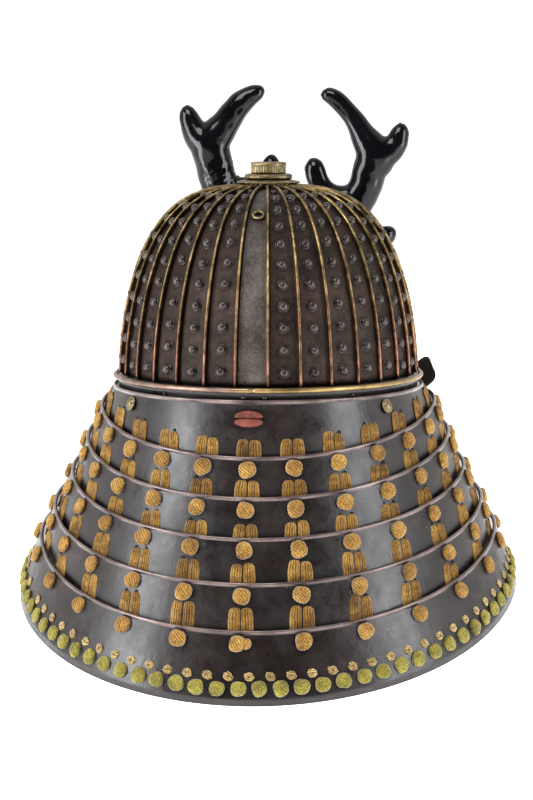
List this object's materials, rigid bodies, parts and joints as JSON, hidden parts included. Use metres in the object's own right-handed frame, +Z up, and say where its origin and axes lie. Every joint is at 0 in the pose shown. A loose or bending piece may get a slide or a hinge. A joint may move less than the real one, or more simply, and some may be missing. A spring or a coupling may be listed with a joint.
{
  "type": "kabuto samurai helmet",
  "caption": "Samurai helmet: ridged and riveted iron bowl with an open crown ornament, a laced neck guard of flaring lames, and a black antler crest in a front holder.",
  "frame": {"origin": "centre of the bowl's rim, where the helmet sits on a head", "axes": "+Z up through the crown ornament, -Y to the front of the helmet, +X to the wearer's left"},
  "size_m": [0.3535, 0.3502, 0.4009],
  "materials": {
    "plate_iron": "russet iron, fine pitting",
    "lame_lacquer": "dark brown lacquer over iron, worn",
    "gilt_edge": "worn gilt copper",
    "crown_brass": "chased and tarnished gilt brass",
    "lace_ochre": "braided silk, faded",
    "lace_green": "braided silk, yellow green",
    "red_leather": "dyed leather cord",
    "antler_lacquer": "polished black lacquer on wood"
  },
  "bodies": {
    "root": {"bowl_plate_01": "plate_iron", "bowl_plate_02": "plate_iron", "bowl_plate_03": "plate_iron", "bowl_plate_04": "plate_iron", "bowl_plate_05": "plate_iron", "bowl_plate_06": "plate_iron", "bowl_plate_07": "plate_iron", "bowl_plate_08": "plate_iron", "bowl_plate_09": "plate_iron", "bowl_plate_10": "plate_iron", "bowl_plate_11": "plate_iron", "bowl_plate_12": "plate_iron", "bowl_plate_13": "plate_iron", "bowl_plate_14": "plate_iron", "bowl_plate_15": "plate_iron", "bowl_plate_16": "plate_iron", "bowl_plate_17": "plate_iron", "bowl_plate_18": "plate_iron", "bowl_plate_19": "plate_iron", "bowl_plate_20": "plate_iron", "bowl_plate_21": "plate_iron", "bowl_plate_22": "plate_iron", "bowl_plate_23": "plate_iron", "bowl_plate_24": "plate_iron", "bowl_plate_25": "plate_iron", "bowl_plate_26": "plate_iron", "bowl_plate_27": "plate_iron", "bowl_plate_28": "plate_iron", "bowl_plate_29": "plate_iron", "bowl_plate_30": "plate_iron", "bowl_plate_31": "plate_iron", "bowl_plate_32": "plate_iron", "bowl_rim_wire": "gilt_edge", "waist_plate": "lame_lacquer", "crown_ornament": "crown_brass", "neck_lame_1": "lame_lacquer", "neck_lame_2": "lame_lacquer", "neck_lame_3": "lame_lacquer", "neck_lame_4": "lame_lacquer", "neck_lame_5": "lame_lacquer", "neck_lame_6": "lame_lacquer", "lacing_row_1": "lace_ochre", "knot_row_1": "lace_ochre", "lacing_row_2": "lace_ochre", "knot_row_2": "lace_ochre", "lacing_row_3": "lace_ochre", "knot_row_3": "lace_ochre", "lacing_row_4": "lace_ochre", "knot_row_4": "lace_ochre", "lacing_row_5": "lace_ochre", "knot_row_5": "lace_ochre", "edge_knot_row": "lace_green", "stud_left": "crown_brass", "stud_right": "crown_brass", "back_knot": "red_leather", "back_ring": "crown_brass", "visor": "lame_lacquer", "antler_left": "antler_lacquer", "antler_right": "antler_lacquer", "crest_holder": "lame_lacquer"}
  },
  "joints": []
}
